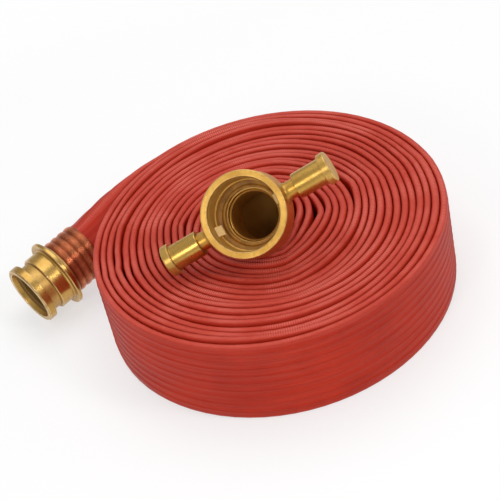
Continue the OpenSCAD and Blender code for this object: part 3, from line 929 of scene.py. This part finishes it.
# Mouth seal
# An amber rubber ring that lies loose in its seat, with a groove behind its lip. The water presses the
# lip against the nose of the mating coupling.
seal_outline = [
    [29.8, -36.6, 0], [31.8, -36.6, 0], [33.8, -38.6, 0], [37.8, -36.6, 0],
    [40.2, -36.6, 0], [40.2, -42.2, 0], [29.8, -42.2, 0],
]
seal_finish, shader = new_finish("amber_rubber", Roughness=0.5, Specular_IOR_Level=0.4)
space = add_node(seal_finish, "ShaderNodeTexCoord").outputs["Object"]
stain = graded(seal_finish, grain(seal_finish, space, 120, 4), 0, 1, (0.35, 0.7))
tone = mixed(seal_finish, stain, colour(190, 138, 56), colour(150, 104, 38))
connect(seal_finish, tone, shader.inputs["Base Color"])
bump = add_node(seal_finish, "ShaderNodeBump", {"Height": stain, "Strength": 0.2, "Distance": 0.0002})
connect(seal_finish, bump.outputs["Normal"], shader.inputs["Normal"])
seal_ring = lathe(rounded(seal_outline, radius=0.6), even_turn(coupling_sides))
seal = place_piece("seal", seal_finish, [seal_ring], female_axes, female_mouth)
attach(seal, "root")
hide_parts("mouth_seal")


# Teeth
# Two brass plungers. The bevelled tooth of each looks into the cup and hooks behind the mating lip, its
# round shoulder stops it in the chamber, and its stem runs out through the cap to the knob. Their
# outlines are in millimetres from the cup's axis.
tooth_outline = [[4.5, 31.8, 0.5], [2, 31.8, 0.5], [-4.5, 37.6, 0.5], [-4.5, 51, 0], [4.5, 51, 0]]
tooth_sides = np.array([-5.5, -5.35, -5.0, -4.8, 4.8, 5.0, 5.35, 5.5])[:, None] * 0.001
tooth_insets = np.array([0.5, 0.15, 0, 0, 0, 0, 0.15, 0.5])[:, None] * 0.001
tooth_rims = np.array([0, 1, 1, 0, 0, 1, 1, 0])[:, None]
stem_outline = [[0.3, 98, 0], [4, 98, 0], [4, 51, 0], [7.2, 51, 0], [7.2, 48.05, 0], [0.3, 48.05, 0]]
stem_sides = 40
lug_origin = female_mouth - lug_depth * female_axes[:, 2]


def tooth_shell():
    """A tooth in a lug's frame: its rounded outline, drawn along the second axis and inset at both ends,
    so that the rims of its two flat sides are rounded too."""
    rows = rounded(tooth_outline, radius=0.6)[::-1]
    step = unit(np.roll(rows, -1, 0)[:, :2] - np.roll(rows, 1, 0)[:, :2])
    x = rows[:, 0] - tooth_insets * step[:, 1]
    z = rows[:, 1] + tooth_insets * step[:, 0]
    marks = np.stack([np.maximum(rows[:, 2], tooth_rims), np.broadcast_to(rows[:, 3], x.shape)], -1)
    return grid_shell(np.stack([x, np.broadcast_to(tooth_sides, x.shape), z], -1), marks)


# The teeth's brass is a paler copy of the other brass: painted light on teeth that sit in the cup's shade.
lit_tooth_finish = metal_finish(
    "tooth_brass", tone=colour(255, 228, 166), shade=colour(250, 212, 142), pale=colour(255, 244, 206),
    deep=colour(226, 182, 110), roughness=0.45, turning=0.2,
)
for side, turn in lugs.items():
    stem = lathe(rounded(stem_outline, radius=0.5, closed=False), even_turn(stem_sides), closed=False)
    axes = female_axes @ lug_axes(turn)
    plunger = place_piece(f"{side}_tooth", lit_tooth_finish, [tooth_shell(), stem], axes, lug_origin)
    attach(plunger, f"{side}_lug")
    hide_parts(f"{side}_plunger")


# Springs
# A coil of steel wire in each chamber pushes the tooth's shoulder inwards. It is squeezed against the cap
# when the knob is pulled.
spring_radius = 0.0056
spring_wire_radius = 0.0006
spring_turns = 7
spring_steps = 30
spring_sides = 8
spring_ends = (0.0518, 0.0732)
spring_finish = metal_finish(
    "spring_steel", tone=colour(190, 190, 192), shade=colour(150, 150, 152), pale=colour(224, 224, 226),
    deep=colour(60, 56, 52), roughness=0.3, turning=0.0,
)
winding = np.linspace(0, 2 * np.pi * spring_turns, spring_steps * spring_turns + 1)
spring_line = np.column_stack([
    spring_radius * np.cos(winding),
    spring_radius * np.sin(winding),
    np.linspace(*spring_ends, len(winding)),
])
for side, turn in lugs.items():
    axes = female_axes @ lug_axes(turn)
    coil = wire_shell(spring_line, spring_wire_radius, spring_sides)
    spring = place_piece(f"{side}_coil", spring_finish, [coil], axes, lug_origin)
    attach(spring, "root")
    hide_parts(f"{side}_spring")
    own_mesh(spring)


# Spring caps
# Brass plugs screwed into the ends of the bosses, with a slot for the driver. They hold the springs in
# and guide the stems, and the knobs hide them.
lug_finish = metal_finish(
    "lug_brass", tone=colour(220, 178, 94), shade=colour(186, 140, 62), pale=colour(250, 230, 176),
    deep=colour(106, 70, 18), roughness=0.22, turning=0.5,
)
for side in lugs:
    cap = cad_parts[f"{side}_spring_cap"]
    cap.data.materials.clear()
    cap.data.materials.append(lug_finish)


# Pull knobs
# Brass sleeves that slide on the bosses. The head of each gives the fingers a rim to pull on, and a cross
# pin ties it to the stem of the tooth.
# Rows inside the sleeve are marked fully dull, which darkens them as painted shade; the head is slightly
# duller and darker.
knob_outline = [
    [0.3, 102, 0.5], [16.4, 102, 0.45], [17.6, 100.8, 0.2], [17.6, 93.6, 0.2], [17, 93, 0.3],
    [14.2, 93, 0.1], [14.2, 60.6, 0], [13.6, 60, 0], [10.3, 60, 0.6], [10.3, 88, 1], [4.05, 88, 1],
    [4.05, 98.5, 1], [0.3, 98.5, 1],
]
knob_sides = 72
for side, turn in lugs.items():
    knob_shell = lathe(rounded(knob_outline, radius=0.6, closed=False), even_turn(knob_sides), closed=False)
    axes = female_axes @ lug_axes(turn)
    knob = place_piece(f"{side}_knob", lug_finish, [knob_shell], axes, lug_origin)
    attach(knob, f"{side}_lug")
    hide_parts(f"{side}_pull_knob")


# Knob pins
# Plain steel pins, each driven through a knob and the stem inside it and filed off nearly flush with the
# sleeve. They carry the pull from the knob to the tooth.
pin_height = 0.0905
pin_outline = [
    [0.2, 14.35, 0], [1.1, 14.3, 0], [1.5, 14, 0], [1.5, -14, 0], [1.1, -14.3, 0], [0.2, -14.35, 0],
]
pin_sides = 24
pin_finish = metal_finish(
    "pin_steel", tone=colour(176, 172, 166), shade=colour(140, 134, 126), pale=colour(214, 210, 204),
    deep=colour(70, 62, 52), roughness=0.38, turning=0.0,
)
for side, turn in lugs.items():
    axes = female_axes @ lug_axes(turn)
    across = axes @ np.array([[1, 0, 0], [0, 0, 1], [0, -1, 0]])
    pin_shell = lathe(rounded(pin_outline, radius=0.2, closed=False), even_turn(pin_sides), closed=False)
    pin_middle = lug_origin + pin_height * axes[:, 2]
    pin = place_piece(f"{side}_pin", pin_finish, [pin_shell], across, pin_middle)
    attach(pin, f"{side}_lug")
    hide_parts(f"{side}_knob_pin")


# Stage
# A pale floor under soft light: a large lamp overhead, one on each side, and an even grey room that is
# darker than the lamps. Away from the lamps the floor glows more, so that it is seen white all over.
floor_reach = 6
floor_paper = (0.42, 0.42, 0.42, 1)
floor_glow = (0.6, 0.79)
glow_distance = (0.6, 2.2)
room_light = 0.5
floor_mesh = bpy.data.meshes.new("floor")
floor_corners = [(x * floor_reach, y * floor_reach, 0) for x, y in ((-1, -1), (1, -1), (1, 1), (-1, 1))]
floor_mesh.from_pydata(floor_corners, [], [(0, 1, 2, 3)])
floor = bpy.data.objects.new("floor", floor_mesh)
scene.collection.objects.link(floor)
floor_finish, shader = new_finish(
    "pale_floor", Base_Color=(0.95, 0.95, 0.95, 1), Roughness=0.9, Specular_IOR_Level=0.2
)
seen = add_node(floor_finish, "ShaderNodeLightPath").outputs
seen_share = sums(floor_finish, "MAXIMUM", seen["Is Camera Ray"], seen["Is Glossy Ray"])
seen_share = sums(floor_finish, "MAXIMUM", seen_share, seen["Is Transmission Ray"])
paper = add_node(floor_finish, "ShaderNodeBsdfDiffuse", {"Color": floor_paper}).outputs[0]
space = add_node(floor_finish, "ShaderNodeTexCoord").outputs["Object"]
away = add_node(floor_finish, "ShaderNodeVectorMath", {0: space}, operation="LENGTH").outputs["Value"]
glow_strength = graded(floor_finish, away, *floor_glow, glow_distance)
glow = add_node(floor_finish, "ShaderNodeEmission", {"Strength": glow_strength}).outputs[0]
white = add_node(floor_finish, "ShaderNodeAddShader", {0: paper, 1: glow}).outputs[0]
ground = add_node(
    floor_finish, "ShaderNodeMixShader", {0: seen_share, 1: shader.outputs[0], 2: white}
).outputs[0]
connect(floor_finish, ground, floor_finish.node_tree.nodes["Material Output"].inputs["Surface"])
floor.data.materials.append(floor_finish)

world = bpy.data.worlds.new("studio")
scene.world = world
world.use_nodes = True
room = world.node_tree.nodes["Background"]
room.inputs["Color"].default_value = (1, 1, 1, 1)
room.inputs["Strength"].default_value = room_light


def soft_light(name, place, target, size, power):
    """A square area light at a place, facing a target. Two of its sides are nearly square to the Y axis."""
    lamp = bpy.data.lights.new(name, "AREA")
    lamp.size = size
    lamp.energy = power
    light = bpy.data.objects.new(name, lamp)
    axis = unit(np.array(place) - np.array(target))
    across = unit(np.cross([0.0, 1.0, 0.01], axis))
    lamp_place = np.eye(4)
    lamp_place[:3, 0] = across
    lamp_place[:3, 1] = np.cross(axis, across)
    lamp_place[:3, 2] = axis
    lamp_place[:3, 3] = place
    light.matrix_world = Matrix(lamp_place.tolist())
    scene.collection.objects.link(light)


soft_light("top_light", place=(0, 0.7, 2.0), target=(0, 0.1, 0.05), size=1.8, power=15)
soft_light("left_light", place=(-0.86, -1.37, 1.05), target=(0, 0, 0.05), size=0.5, power=5.5)
soft_light("right_light", place=(1.06, -0.78, 1.42), target=(0, 0, 0.05), size=0.45, power=6.5)
